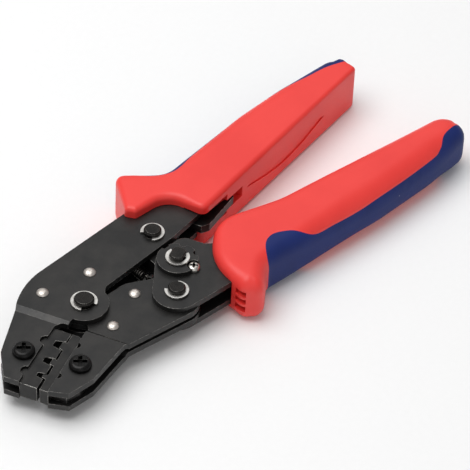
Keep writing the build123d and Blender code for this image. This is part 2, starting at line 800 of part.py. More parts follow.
handle_plate_front = handle_plate(1)
save(handle_plate_front, "handle_plate_front")
handle_plate_back = handle_plate(-1)
save(handle_plate_back, "handle_plate_back")

wheel_clip_low = wheel_top + CLIP_LIFT

with BuildPart() as eccentric_pin:
    with BuildSketch(level(-frame_outer - PIN_HEAD)):
        with Locations(ECCENTRIC):
            Circle(PIN_R + PIN_HEAD_PROUD)
    extrude(amount=PIN_HEAD)
    for side in (1, -1):
        with BuildSketch(level(side * frame_inner)):
            with Locations(ECCENTRIC):
                Circle(PIN_R)
        extrude(amount=side * PLATE)
    with BuildSketch(level(-frame_inner)):
        with Locations(crank_centre):
            Circle(CRANK_R)
    extrude(amount=2 * frame_inner)
    with BuildSketch(level(frame_outer)):
        with Locations(ECCENTRIC):
            Circle(PIN_R)
            Rectangle(2 * PIN_R, 2 * WHEEL_FLATS, mode=Mode.INTERSECT)
    extrude(amount=wheel_clip_low - frame_outer)
    with BuildSketch(level(wheel_clip_low)):
        with Locations(ECCENTRIC):
            Circle(PIN_R - PIN_GROOVE)
    extrude(amount=CLIP)
    with BuildSketch(level(wheel_clip_low + CLIP)):
        with Locations(ECCENTRIC):
            Circle(PIN_R)
            Rectangle(2 * PIN_R, 2 * WHEEL_FLATS, mode=Mode.INTERSECT)
    extrude(amount=ECCENTRIC_STUB)
    chamfer(eccentric_pin.faces().sort_by(Axis.Z)[-1].edges(), 0.35)
save(eccentric_pin, "eccentric_pin")

eccentric_clip = retaining_clip(ECCENTRIC, PIN_R, wheel_clip_low, 8, 96)
save(eccentric_clip, "eccentric_clip")

with BuildPart() as adjusting_wheel:
    with BuildSketch(level(wheel_low)):
        with Locations(ECCENTRIC):
            Circle(WHEEL_R)
        lock_deg = math.degrees(math.atan2(LOCK_SCREW[1] - ECCENTRIC[1], LOCK_SCREW[0] - ECCENTRIC[0]))
        lock_reach = math.hypot(LOCK_SCREW[0] - ECCENTRIC[0], LOCK_SCREW[1] - ECCENTRIC[1])
        with Locations(polar(ECCENTRIC, lock_reach, lock_deg)):
            Circle(LOCK_HEAD_R + SEAT, mode=Mode.SUBTRACT)
        for notch in range(NOTCH_COUNT):
            with Locations(polar(ECCENTRIC, WHEEL_R, lock_deg + (notch + 1) * NOTCH_STEP_DEG)):
                Circle(NOTCH_R, mode=Mode.SUBTRACT)
        with Locations(ECCENTRIC):
            with BuildSketch(mode=Mode.PRIVATE) as bore:
                Circle(PIN_R + RUN)
                Rectangle(2 * PIN_R + 1, 2 * (WHEEL_FLATS + RUN), mode=Mode.INTERSECT)
        with Locations(ECCENTRIC):
            add(bore.sketch, mode=Mode.SUBTRACT)
    extrude(amount=WHEEL)
save(adjusting_wheel, "adjusting_wheel")

wheel_lock_screw = pan_screw(LOCK_SCREW, LOCK_SCREW_R, LOCK_HEAD_R, LOCK_HEAD, frame_outer, frame_inner, 20)
save(wheel_lock_screw, "wheel_lock_screw")


# ---------------------------------------------------------------------------
# Grips: a hard shell and a soft inlay that share one outline
# ---------------------------------------------------------------------------


def rounded_outline(corners):
    """A closed outline through corners, each rounded to its own radius."""
    with BuildLine() as outline:
        places, radii = zip(*corners)
        FilletPolyline(*places, radius=list(radii), close=True)
    return outline.line


def fixed_inlay_outline():
    """Plan region of the fixed grip's inlay, along its outer back edge."""
    with BuildLine() as outline:
        Spline((56.6, 14.0), (60.2, 4.3), (62.6, 0.1), (65.6, -3.1), (70.0, -4.7), (78.0, -6.2))
        Line((78.0, -6.2), (101.0, -12.5))
        ThreePointArc((101.0, -12.5), (113.5, -17.3), (122.0, -21.3))
        Spline((122.0, -21.3), (129.7, -26.4), (136.6, -30.4), (142.0, -34.8), (147.0, -39.0))
        Polyline((147.0, -39.0), (150.0, -20.0), (90.0, 10.0), (66.0, 18.0), (56.6, 14.0))
    return outline.line


def moving_inlay_outline():
    """Plan region of the moving grip's inlay, along its outer edge."""
    with BuildLine() as outline:
        Spline(
            (38.6, -56.0),
            (40.2, -49.4),
            (46.0, -45.2),
            (51.4, -45.3),
            (55.6, -49.8),
            (59.4, -56.4),
            (68.0, -61.2),
            (86.0, -69.9),
            (110.0, -79.6),
            (117.0, -81.2),
            (123.5, -80.7),
            (134.0, -84.4),
        )
        Polyline((134.0, -84.4), (134.0, -95.0), (38.6, -95.0), (38.6, -56.0))
    return outline.line


def grip_blank(outline):
    """A grip's full solid, rounded along both outer rims."""
    with BuildPart() as blank:
        with BuildSketch(level(-GRIP_HALF)):
            with BuildLine():
                add(outline)
            make_face()
        extrude(amount=2 * GRIP_HALF)
        rims = blank.faces().filter_by(Axis.Z)
        fillet([edge for face in rims for edge in face.edges()], GRIP_ROUND)
    return blank


def hollow(outline, half):
    """Cut a plan outline, opened by the seat clearance, from the current part."""
    with BuildSketch(level(-half)) as slot:
        with BuildLine():
            add(outline)
        make_face()
        offset(amount=SEAT)
    extrude(slot.sketch, amount=2 * half, mode=Mode.SUBTRACT)


def box_cut(points, low, high):
    """Cut a plan polygon between two heights from the current part."""
    with BuildSketch(level(low)) as slot:
        with BuildLine():
            Polyline(*points, close=True)
        make_face()
    extrude(slot.sketch, amount=high - low, mode=Mode.SUBTRACT)


def grip_piece(blank, region, keep_region, plates):
    """One material of a grip: the shell outside the region or the inlay in it."""
    with BuildPart() as piece:
        add(blank.part)
        with BuildSketch(level(-GRIP_HALF - SEAT)):
            with BuildLine():
                add(region)
            make_face()
        extrude(amount=2 * (GRIP_HALF + SEAT), mode=Mode.INTERSECT if keep_region else Mode.SUBTRACT)
        hollow(plates, cavity_half)
    return piece



fixed_blank = grip_blank(rounded_outline(FIXED_GRIP_CORNERS))
fixed_body = grip_piece(fixed_blank, fixed_inlay_outline(), False, frame_outline())
with BuildPart() as fixed_grip:
    add(fixed_body.part)
    box_cut(PAWL_WINDOW, *PAWL_SLOT)
    box_cut(LEVER_WINDOW, -lever_slot_half, LEVER_SLOT_TOP)
save(fixed_grip, "fixed_grip")
fixed_grip_inlay = grip_piece(fixed_blank, fixed_inlay_outline(), True, frame_outline())
save(fixed_grip_inlay, "fixed_grip_inlay")

moving_blank = grip_blank(rounded_outline(MOVING_GRIP_CORNERS))
moving_body = grip_piece(moving_blank, moving_inlay_outline(), False, handle_outline())
with BuildPart() as moving_grip:
    add(moving_body.part)
    box_cut(MOUTH, -MOUTH_HALF, -MOUTH_RIB - MOUTH_RIB_HALF)
    box_cut(MOUTH, MOUTH_RIB_HALF - MOUTH_RIB, MOUTH_RIB - MOUTH_RIB_HALF)
    box_cut(MOUTH, MOUTH_RIB + MOUTH_RIB_HALF, MOUTH_HALF)
save(moving_grip, "moving_grip")
moving_grip_inlay = grip_piece(moving_blank, moving_inlay_outline(), True, handle_outline())
save(moving_grip_inlay, "moving_grip_inlay")
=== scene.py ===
"""Studio scene of a ratchet crimping tool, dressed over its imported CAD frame."""

from __future__ import annotations

import json
import logging
import math
from dataclasses import dataclass, field
from enum import Enum

import bmesh
import bpy
import numpy as np
from mathutils import Matrix, Vector
from mathutils.geometry import delaunay_2d_cdt

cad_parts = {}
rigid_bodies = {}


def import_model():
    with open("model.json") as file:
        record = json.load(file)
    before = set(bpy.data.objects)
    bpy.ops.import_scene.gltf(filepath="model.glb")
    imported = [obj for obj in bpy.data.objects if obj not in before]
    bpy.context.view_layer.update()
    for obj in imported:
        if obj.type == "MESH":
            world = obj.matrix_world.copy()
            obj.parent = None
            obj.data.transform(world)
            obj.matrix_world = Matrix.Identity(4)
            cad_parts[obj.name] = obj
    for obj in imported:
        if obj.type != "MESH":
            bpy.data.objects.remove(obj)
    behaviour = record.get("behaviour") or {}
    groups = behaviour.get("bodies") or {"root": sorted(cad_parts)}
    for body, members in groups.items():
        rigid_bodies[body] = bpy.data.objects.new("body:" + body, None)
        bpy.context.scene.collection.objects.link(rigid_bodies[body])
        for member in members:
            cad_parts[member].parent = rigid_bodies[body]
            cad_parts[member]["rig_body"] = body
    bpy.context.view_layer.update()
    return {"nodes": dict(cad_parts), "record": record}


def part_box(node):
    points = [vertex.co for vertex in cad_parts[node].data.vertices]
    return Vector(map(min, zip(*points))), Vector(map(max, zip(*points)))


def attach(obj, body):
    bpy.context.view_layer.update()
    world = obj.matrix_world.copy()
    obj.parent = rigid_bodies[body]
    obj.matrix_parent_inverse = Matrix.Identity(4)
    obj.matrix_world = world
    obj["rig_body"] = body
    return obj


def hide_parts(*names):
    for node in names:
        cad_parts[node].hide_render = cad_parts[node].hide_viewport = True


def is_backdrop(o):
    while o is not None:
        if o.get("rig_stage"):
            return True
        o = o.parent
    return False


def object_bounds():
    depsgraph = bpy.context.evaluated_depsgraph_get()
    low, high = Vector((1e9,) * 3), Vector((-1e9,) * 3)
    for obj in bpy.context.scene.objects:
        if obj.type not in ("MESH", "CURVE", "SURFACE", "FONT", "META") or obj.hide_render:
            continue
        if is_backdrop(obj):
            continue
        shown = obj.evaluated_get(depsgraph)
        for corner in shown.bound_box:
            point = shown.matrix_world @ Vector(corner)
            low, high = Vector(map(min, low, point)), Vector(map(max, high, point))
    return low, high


LOG = logging.getLogger("crimping_tool")
MM = 0.001

Plan = tuple[float, float]
Cavity = tuple[list[Plan], float, float]

# Turn of the surface at an edge, as a cosine, where bare metal begins and is full
EDGE_BEGINS = 0.985
EDGE_FULL = 0.86

# Gap between the plates and the moulding round them, in millimetres
TANG_SEAT = 0.1

# Angle above which a moulded edge stays sharp, in degrees
SHARP_EDGE_DEG = 38

# Gap between the tool and the floor, in metres
FLOOR_GAP = 0.0002

# Spacing of the loose points that fill a grip's flat faces, in millimetres
FILL_STEP = 2.2


class Body(Enum):
    """The rigid bodies of the tool."""

    FRAME = "fixed_frame"
    JAW = "lower_jaw"
    LINK = "toggle_link"
    HANDLE = "moving_handle"
    PAWL = "pawl"


class Side(Enum):
    """Which part of a two-shot moulding a mesh is."""

    SHELL = "shell"
    INLAY = "inlay"


# ---------------------------------------------------------------------------
# Colour and node helpers
# ---------------------------------------------------------------------------
def linear(code: str) -> tuple[float, float, float, float]:
    """Turn an sRGB hex code into a linear colour.

    Args:
        code: Six hex digits with a leading hash.

    Returns:
        Linear red, green, blue and an alpha of one.
    """
    parts = [int(code[i : i + 2], 16) / 255 for i in (1, 3, 5)]
    bent = [p / 12.92 if p <= 0.04045 else ((p + 0.055) / 1.055) ** 2.4 for p in parts]
    return (bent[0], bent[1], bent[2], 1.0)


def add_node(
    tree: bpy.types.NodeTree, kind: str, settings: dict | None = None, links: dict | None = None
) -> bpy.types.Node:
    """Add one node with its settings and incoming links.

    Args:
        tree: The node tree that takes the node.
        kind: The node's type name.
        settings: Attributes by name, or socket defaults by socket name or index.
        links: Source sockets by the name or index of the socket they feed.

    Returns:
        The new node.
    """
    node = tree.nodes.new(kind)
    for key, value in (settings or {}).items():
        if isinstance(key, str) and hasattr(node, key):
            setattr(node, key, value)
        else:
            node.inputs[key].default_value = value
    for key, source in (links or {}).items():
        tree.links.new(source, node.inputs[key])
    return node


def per_metre(size_mm: float) -> float:
    """The texture scale whose features are about size_mm across."""
    return 1.0 / (size_mm * MM)


# ---------------------------------------------------------------------------
# Finishes
# ---------------------------------------------------------------------------
Worked = tuple[bpy.types.NodeSocket, bpy.types.NodeSocket, bpy.types.NodeSocket | None]


@dataclass(frozen=True)
class Finish:
    """A surface finish: what every one of the tool's materials shares.

    The tone drifts over mottle_mm, the roughness drifts with it, and a fine
    relief of grain_mm stands grain_um high.
    """

    name: str
    colour: str
    dark: str
    metallic: float
    roughness: float
    mottle_mm: float
    grain_mm: float
    grain_um: float
    roughness_drift: float = 0.08
    ior: float | None = None
    stretch: tuple[float, float, float] = (1.0, 1.0, 1.0)

    def material(self) -> bpy.types.Material:
        """Build the finish as a node material.

        Returns:
            The material, ready to be put on a piece.
        """
        made = bpy.data.materials.new(self.name)
        made.use_nodes = True
        tree = made.node_tree
        tree.nodes.clear()
        place = add_node(tree, "ShaderNodeTexCoord").outputs["Object"]
        along = add_node(
            tree, "ShaderNodeMapping", {"Scale": self.stretch}, {"Vector": place}
        ).outputs["Vector"]
        mottle = add_node(
            tree,
            "ShaderNodeTexNoise",
            {"Scale": per_metre(self.mottle_mm), "Detail": 4.0, "Roughness": 0.6},
            {"Vector": place},
        ).outputs["Fac"]
        grain = add_node(
            tree,
            "ShaderNodeTexNoise",
            {"Scale": per_metre(self.grain_mm), "Detail": 3.0, "Roughness": 0.55},
            {"Vector": along},
        ).outputs["Fac"]
        spread = add_node(
            tree, "ShaderNodeMapRange", {"From Min": 0.35, "From Max": 0.65}, {"Value": mottle}
        ).outputs["Result"]
        colour = add_node(
            tree,
            "ShaderNodeMix",
            {"data_type": "RGBA", 6: linear(self.dark), 7: linear(self.colour)},
            {0: spread},
        ).outputs[2]
        rough = add_node(
            tree,
            "ShaderNodeMapRange",
            {
                "From Min": 0.3,
                "From Max": 0.7,
                "To Min": self.roughness - self.roughness_drift,
                "To Max": self.roughness + self.roughness_drift,
            },
            {"Value": grain},
        ).outputs["Result"]
        shader = add_node(tree, "ShaderNodeBsdfPrincipled", {"Metallic": self.metallic})
        if self.ior is not None:
            shader.inputs["IOR"].default_value = self.ior
        colour, rough, base_normal = self.work(tree, shader, place, colour, rough)
        bump = add_node(
            tree,
            "ShaderNodeBump",
            {"Strength": 1.0, "Distance": self.grain_um * 1e-6},
            {"Height": grain, **({"Normal": base_normal} if base_normal else {})},
        )
        tree.links.new(colour, shader.inputs["Base Color"])
        tree.links.new(rough, shader.inputs["Roughness"])
        tree.links.new(bump.outputs["Normal"], shader.inputs["Normal"])
        add_node(tree, "ShaderNodeOutputMaterial", links={"Surface": shader.outputs["BSDF"]})
        return made

    def work(
        self,
        tree: bpy.types.NodeTree,
        shader: bpy.types.Node,
        place: bpy.types.NodeSocket,
        colour: bpy.types.NodeSocket,
        rough: bpy.types.NodeSocket,
    ) -> Worked:
        """Leave the shared graph as it is; a subclass adds what its process leaves.

        Args:
            tree: The material's node tree.
            shader: The material's main shader node.
            place: The socket of the surface's place on the piece.
            colour: The socket of the colour so far.
            rough: The socket of the roughness so far.

        Returns:
            The colour and roughness sockets, and a normal socket or None.
        """
        return colour, rough, None


@dataclass(frozen=True)
class WornSteel(Finish):
    """Steel whose coating is rubbed thin along its edges.

    Bare metal shows within wear_mm of an edge, broken up by the drift, and the
    edge itself is eased by ease_mm. Where crevice_shade is above zero, corners
    and recesses are darkened by painted shade, taken from ambient occlusion
    within crevice_shade_mm.
    """

    bare: str = "#9A9894"
    wear_mm: float = 0.28
    wear: float = 0.8
    patch_mm: float = 1.6
    ease_mm: float = 0.16
    # crevice_shade: how strongly corners and recesses get painted shade from ambient occlusion, within
    # crevice_shade_mm
    crevice_shade: float = 0.0
    crevice_shade_mm: float = 1.0

    def work(
        self,
        tree: bpy.types.NodeTree,
        shader: bpy.types.Node,
        place: bpy.types.NodeSocket,
        colour: bpy.types.NodeSocket,
        rough: bpy.types.NodeSocket,
    ) -> Worked:
        """Rub the coating off the edges and ease them.

        Args:
            tree: The material's node tree.
            shader: The material's main shader node.
            place: The socket of the surface's place on the piece.
            colour: The socket of the colour so far.
            rough: The socket of the roughness so far.

        Returns:
            The worn colour, darkened by painted shade in crevices where crevice_shade is set, and roughness
            sockets, and the eased normal.
        """
        wide = add_node(
            tree, "ShaderNodeBevel", {"samples": 6, "Radius": self.wear_mm * MM}
        ).outputs["Normal"]
        true = add_node(tree, "ShaderNodeNewGeometry").outputs["True Normal"]
        turn = add_node(
            tree, "ShaderNodeVectorMath", {"operation": "DOT_PRODUCT"}, {0: wide, 1: true}
        ).outputs["Value"]
        edge = add_node(
            tree,
            "ShaderNodeMapRange",
            {"From Min": EDGE_BEGINS, "From Max": EDGE_FULL, "To Max": self.wear},
            {"Value": turn},
        ).outputs["Result"]
        patch = add_node(
            tree,
            "ShaderNodeTexNoise",
            {"Scale": per_metre(self.patch_mm), "Detail": 5.0, "Roughness": 0.7},
            {"Vector": place},
        ).outputs["Fac"]
        broken = add_node(
            tree, "ShaderNodeMapRange", {"From Min": 0.38, "From Max": 0.62}, {"Value": patch}
        ).outputs["Result"]
        rubbed = add_node(
            tree, "ShaderNodeMath", {"operation": "MULTIPLY"}, {0: edge, 1: broken}
        ).outputs["Value"]
        worn = add_node(
            tree, "ShaderNodeMix", {"data_type": "RGBA", 7: linear(self.bare)}, {0: rubbed, 6: colour}
        ).outputs[2]
        smoother = add_node(
            tree, "ShaderNodeMix", {"data_type": "FLOAT", 3: 0.28}, {0: rubbed, 2: rough}
        ).outputs[0]
        eased = add_node(
            tree, "ShaderNodeBevel", {"samples": 6, "Radius": self.ease_mm * MM}
        ).outputs["Normal"]
        if not self.crevice_shade:
            return worn, smoother, eased
        # Painted shade: where ambient occlusion finds a corner or recess, mix the colour towards the near
        # black #0E0D0C as if shade fell there
        open_sky = add_node(
            tree, "ShaderNodeAmbientOcclusion", {"samples": 8, "Distance": self.crevice_shade_mm * MM}
        ).outputs["AO"]
        painted_shade_mask = add_node(
            tree,
            "ShaderNodeMapRange",
            {"From Min": 0.8, "From Max": 0.45, "To Max": self.crevice_shade},
            {"Value": open_sky},
        ).outputs["Result"]
        shade_painted_colour = add_node(
            tree, "ShaderNodeMix", {"data_type": "RGBA", 7: linear("#0E0D0C")}, {0: painted_shade_mask, 6: worn}
        ).outputs[2]
        return shade_painted_colour, smoother, eased


@dataclass(frozen=True)
class MouldedPlastic(Finish):
    """Injection moulded plastic with a spark-eroded mould texture.

    Specks of lint lie on it where specks is above zero.
    """

    specks: float = 0.0
    gloss: float = 0.5
    speck_gap_mm: float = 7.0

    def work(
        self,
        tree: bpy.types.NodeTree,
        shader: bpy.types.Node,
        place: bpy.types.NodeSocket,
        colour: bpy.types.NodeSocket,
        rough: bpy.types.NodeSocket,
    ) -> Worked:
        """Set the gloss and add the specks of lint.

        Args:
            tree: The material's node tree.
            shader: The material's main shader node.
            place: The socket of the surface's place on the piece.
            colour: The socket of the colour so far.
            rough: The socket of the roughness so far.

        Returns:
            The colour and roughness sockets, and no normal of its own.
        """
        shader.inputs["Specular IOR Level"].default_value = self.gloss
        if not self.specks:
            return colour, rough, None
        cells = add_node(
            tree,
            "ShaderNodeTexVoronoi",
            {"Scale": per_metre(self.speck_gap_mm), "feature": "F1"},
            {"Vector": place},
        ).outputs["Distance"]
        lint = add_node(
            tree,
            "ShaderNodeMapRange",
            {"From Min": 0.035, "From Max": 0.02, "To Max": self.specks},
            {"Value": cells},
        ).outputs["Result"]
        dusted = add_node(
            tree, "ShaderNodeMix", {"data_type": "RGBA", 7: linear("#B9BBC6")}, {0: lint, 6: colour}
        ).outputs[2]
        return dusted, rough, None


class Finishes:
    """Every finish of the tool, made once and looked up by material slot."""

    def __init__(self) -> None:
        """Build the materials."""
        kinds: dict[str, Finish] = {
            # Polypropylene, injection moulded in a spark-eroded cavity: an even,
            # saturated red with a broad satin highlight and no visible pores.
            "red_grip": MouldedPlastic(
                "moulded_polypropylene_red",
                colour="#F03E38", dark="#EA3833", metallic=0.0, roughness=0.42, mottle_mm=24.0,
                grain_mm=0.35, grain_um=6.0, roughness_drift=0.05, ior=1.49,
            ),
            # Thermoplastic rubber, over-moulded: matt navy with little gloss that
            # holds a few specks of lint.
            "blue_inlay": MouldedPlastic(
                "overmoulded_rubber_navy",
                colour="#1A2C6C", dark="#172762", metallic=0.0, roughness=0.55, mottle_mm=15.0,
                grain_mm=0.4, grain_um=9.0, roughness_drift=0.05, ior=1.52, specks=0.6, gloss=0.22,
            ),
            # Rolled plate, blanked and black oxided: near black with a satin
            # sheen along the rolling, bright only where edges are rubbed.
            "black_oxide_plate": WornSteel(
                "black_oxide_rolled_plate",
                colour="#41403F", dark="#373737", metallic=0.85, roughness=0.40, mottle_mm=9.0,
                grain_mm=0.5, grain_um=2.5, stretch=(0.25, 1.6, 1.0), bare="#B4B1AC",
            ),
            # Die steel, wire cut and black oxided: a finer, darker face whose
            # crimping edges are polished by use.
            "die_steel": WornSteel(
                "black_oxide_wire_cut_steel",
                colour="#3A3938", dark="#2F2F2F", metallic=0.85, roughness=0.36, mottle_mm=4.0,
                grain_mm=0.3, grain_um=2.0, bare="#D2CFC9", wear_mm=0.3, wear=1.0,
            ),
            # Hardened pin, turned and oil blackened: dark, with a small sharp
            # highlight on its chamfer.
            "hardened_pin": WornSteel(
                "oil_blackened_turned_pin",
                colour="#353331", dark="#292827", metallic=0.9, roughness=0.30, mottle_mm=3.0,
                grain_mm=0.25, grain_um=1.5, bare="#B0ACA5", wear=0.7, ease_mm=0.12,
            ),
            # Spring steel strip, blanked and tumbled: bright satin grey, with painted shade darkening its
            # crevices.
            "bright_clip": WornSteel(
                "tumbled_spring_steel_clip",
                colour="#E4E2DE", dark="#C2C0BB", metallic=1.0, roughness=0.36, mottle_mm=1.8,
                grain_mm=0.3, grain_um=2.0, bare="#F4F2EE", ease_mm=0.1, crevice_shade=0.5,
            ),
            # Nickel plated steel, cold headed: a warm bright dome, with painted shade darkening its crevices
            # and its rim where it meets the plate.
            "nickel_rivet": WornSteel(
                "nickel_plated_rivet",
                colour="#E6DFD8", dark="#C9C1BA", metallic=1.0, roughness=0.42, mottle_mm=1.5,
                grain_mm=0.35, grain_um=1.5, bare="#F5F0EA", ease_mm=0.1, crevice_shade=0.6,
            ),
            # Cross-recessed screw, cold headed and blackened: glossy black.
            "black_screw": WornSteel(
                "blackened_cross_screw",
                colour="#232222", dark="#1A1A1A", metallic=0.8, roughness=0.30, mottle_mm=2.0,
                grain_mm=0.3, grain_um=2.0, bare="#6A6865", wear=0.6, ease_mm=0.18,
            ),
            # Zinc plated screw, bright passivated, with its cross recess and crevices darkened by painted
            # shade.
            "zinc_screw": WornSteel(
                "zinc_plated_screw",
                colour="#E2DFD8", dark="#BDBAB3", metallic=1.0, roughness=0.3, mottle_mm=1.2,
                grain_mm=0.3, grain_um=2.0, bare="#F7F5EF", ease_mm=0.1, crevice_shade=0.95,
            ),
            # Music wire, drawn and oiled: dark, with a thin bright line along it.
            "spring_steel": WornSteel(
                "oiled_music_wire",
                colour="#56534F", dark="#403E3B", metallic=1.0, roughness=0.3, mottle_mm=0.9,
                grain_mm=0.2, grain_um=1.5, bare="#8E8B86", ease_mm=0.05,
            ),
            # Mild steel spacer, phosphated: a flat dark grey.
            "spacer_steel": WornSteel(
                "phosphated_spacer",
                colour="#3B3A38", dark="#2C2B2A", metallic=0.7, roughness=0.52, mottle_mm=2.5,
                grain_mm=0.25, grain_um=3.0, bare="#7C7A76", wear=0.5,
            ),
        }
        self._made = {slot: kind.material() for slot, kind in kinds.items()}

    def of(self, slot: str) -> bpy.types.Material:
        """The material of a slot."""
        return self._made[slot]

    def dress(self, piece: bpy.types.Object, slot: str) -> None:
        """Put a slot's material on the whole of a piece.

        Args:
            piece: The mesh object.
            slot: The record's material slot.
        """
        if not piece.material_slots:
            piece.data.materials.append(self.of(slot))
        for held in piece.material_slots:
            held.material = self.of(slot)


# ---------------------------------------------------------------------------
# The tool's own plan frame
# ---------------------------------------------------------------------------
@dataclass(frozen=True)
class ToolFrame:
    """Plan places in millimetres from the jaw pivot, at heights from mid-plane.

    half is the grips' half thickness, and tang_half that of the cavity round
    the plates.
    """

    origin: Vector
    half: float
    tang_half: float

    @classmethod
    def from_cad(cls) -> ToolFrame:
        """Read the pivot and the mid-plane from the CAD boxes."""
        low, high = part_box("main_pivot_pin")
        grip_low, grip_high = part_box("fixed_grip")
        _, plate_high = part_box("fixed_plate_front")
        middle = (grip_low.z + grip_high.z) / 2
        half = (grip_high.z - grip_low.z) / 2 / MM
        tang_half = (plate_high.z - middle) / MM + TANG_SEAT
        origin = Vector(((low.x + high.x) / 2, (low.y + high.y) / 2, middle))
        return cls(origin, round(half, 3), round(tang_half, 3))

    def at(self, x: float, y: float, z: float = 0.0) -> Vector:
        """The point in the shared frame, in metres."""
        return self.origin + Vector((x, y, z)) * MM


def link_mesh(name: str, points: list[Vector], faces: list[tuple[int, ...]]) -> bpy.types.Object:
    """Make a mesh object from points and faces.

    Args:
        name: The object's name.
        points: Vertices in the shared frame, in metres.
        faces: Vertex indices of each face.

    Returns:
        The linked object, its faces turned outwards.
    """
    mesh = bpy.data.meshes.new(name)
    mesh.from_pydata(points, [], faces)
    work = bmesh.new()
    work.from_mesh(mesh)
    bmesh.ops.recalc_face_normals(work, faces=work.faces)
    work.to_mesh(mesh)
    work.free()
    made = bpy.data.objects.new(name, mesh)
    bpy.context.scene.collection.objects.link(made)
    return made


def apply_modifiers(piece: bpy.types.Object) -> None:
    """Fix the result of a piece's modifiers into its mesh.

    Args:
        piece: The mesh object.
    """
    graph = bpy.context.evaluated_depsgraph_get()
    done = bpy.data.meshes.new_from_object(piece.evaluated_get(graph))
    piece.modifiers.clear()
    piece.data = done


# ---------------------------------------------------------------------------
# Grips
# ---------------------------------------------------------------------------
@dataclass(frozen=True)
class Corner:
    """A corner of a grip's plan outline.

    radius rounds it in plan, and rim is how far the top and bottom edges are
    rolled over there.
    """

    x: float
    y: float
    radius: float
    rim: float


def fillet(corners: list[Corner], step_mm: float) -> np.ndarray:
    """Follow a closed outline with its corners rounded.

    Args:
        corners: The outline's corners in order.
        step_mm: The spacing of the points.

    Returns:
        Rows of x, y and rim.
    """
    rows: list[tuple[float, float, float]] = []
    ends: list[tuple[np.ndarray, np.ndarray, float]] = []
    count = len(corners)
    for i, corner in enumerate(corners):
        here = np.array((corner.x, corner.y))
        before = np.array((corners[i - 1].x, corners[i - 1].y)) - here
        after = np.array((corners[(i + 1) % count].x, corners[(i + 1) % count].y)) - here
        before /= np.linalg.norm(before)
        after /= np.linalg.norm(after)
        half = math.acos(float(np.clip(before @ after, -1, 1))) / 2
        centre = here + (before + after) / np.linalg.norm(before + after) * corner.radius / math.sin(half)
        reach = corner.radius / math.tan(half)
        start, stop = here + before * reach, here + after * reach
        first = math.atan2(*(start - centre)[::-1])
        sweep = (math.atan2(*(stop - centre)[::-1]) - first + math.pi) % (2 * math.pi) - math.pi
        pieces = max(3, int(abs(sweep) * corner.radius / step_mm), int(abs(sweep) / 0.2))
        arc = [first + sweep * k / pieces for k in range(pieces + 1)]
        if ends:
            rows += bridge(ends[-1], start, corner.rim, step_mm)
        rows += [(*(centre + corner.radius * np.array((math.cos(a), math.sin(a)))), corner.rim) for a in arc]
        ends.append((start, stop, corner.rim))
    rows += bridge(ends[-1], ends[0][0], corners[0].rim, step_mm)
    return np.array(rows)


def bridge(
    left: tuple[np.ndarray, np.ndarray, float], goal: np.ndarray, rim: float, step_mm: float
) -> list[tuple[float, float, float]]:
    """Points of the straight run between two rounded corners.

    Args:
        left: The corner that the run leaves, as its start, stop and rim.
        goal: Where the run ends.
        rim: The rim at the run's end.
        step_mm: The spacing of the points.

    Returns:
        Rows of x, y and rim, without the run's two ends.
    """
    run = goal - left[1]
    pieces = max(1, int(np.linalg.norm(run) / step_mm))
    rows = []
    for k in range(1, pieces):
        share = k / pieces
        eased = share * share * (3 - 2 * share)
        rows.append((*(left[1] + run * share), left[2] + (rim - left[2]) * eased))
    return rows


def smooth_line(points: list[Plan], step_mm: float) -> np.ndarray:
    """A smooth line through points, evenly stepped.

    Args:
        points: Points in order.
        step_mm: The spacing along the line.

    Returns:
        Rows of x and y.
    """
    given = np.array(points)
    padded = np.vstack([2 * given[0] - given[1], given, 2 * given[-1] - given[-2]])
    rows = []
    for i in range(1, len(padded) - 2):
        a, b, c, d = padded[i - 1 : i + 3]
        pieces = max(2, int(np.linalg.norm(c - b) / step_mm))
        for k in range(pieces):
            t = k / pieces
            second = 2 * a - 5 * b + 4 * c - d
            third = 3 * b - a - 3 * c + d
            rows.append(0.5 * (2 * b + (c - a) * t + second * t**2 + third * t**3))
    rows.append(given[-1])
    return np.array(rows)


def inside(points: np.ndarray, ring: np.ndarray) -> np.ndarray:
    """Which points lie inside a closed ring.

    Args:
        points: Rows of x and y.
        ring: The ring's corners in order.

    Returns:
        One truth value per point.
    """
    x, y = points[:, 0][:, None], points[:, 1][:, None]
    x0, y0 = ring[:, 0], ring[:, 1]
    x1, y1 = np.roll(x0, -1), np.roll(y0, -1)
    crosses = (y0 > y) != (y1 > y)
    with np.errstate(divide="ignore", invalid="ignore"):
        at = x0 + (y - y0) / (y1 - y0) * (x1 - x0)
    return (np.where(crosses, x < at, False).sum(axis=1) % 2).astype(bool)


def nearest(points: np.ndarray, outline: np.ndarray) -> tuple[np.ndarray, np.ndarray]:
    """Distance and rim of the outline's nearest place to each point.

    Args:
        points: Rows of x and y.
        outline: Rows of x, y and rim.

    Returns:
        The distances and the rims.
    """
    start = outline[:, :2]
    run = np.roll(start, -1, axis=0) - start
    length = (run**2).sum(axis=1)
    best = np.full(len(points), np.inf)
    rim = np.zeros(len(points))
    for first in range(0, len(points), 2000):
        some = points[first : first + 2000]
        away = some[:, None, :] - start[None]
        share = np.clip((away * run).sum(axis=2) / length, 0, 1)
        gap = np.linalg.norm(away - share[..., None] * run, axis=2)
        pick = gap.argmin(axis=1)
        here = np.arange(len(some))
        best[first : first + 2000] = gap[here, pick]
        near, far = outline[pick, 2], np.roll(outline[:, 2], -1)[pick]
        rim[first : first + 2000] = near + (far - near) * share[here, pick]
    return best, rim


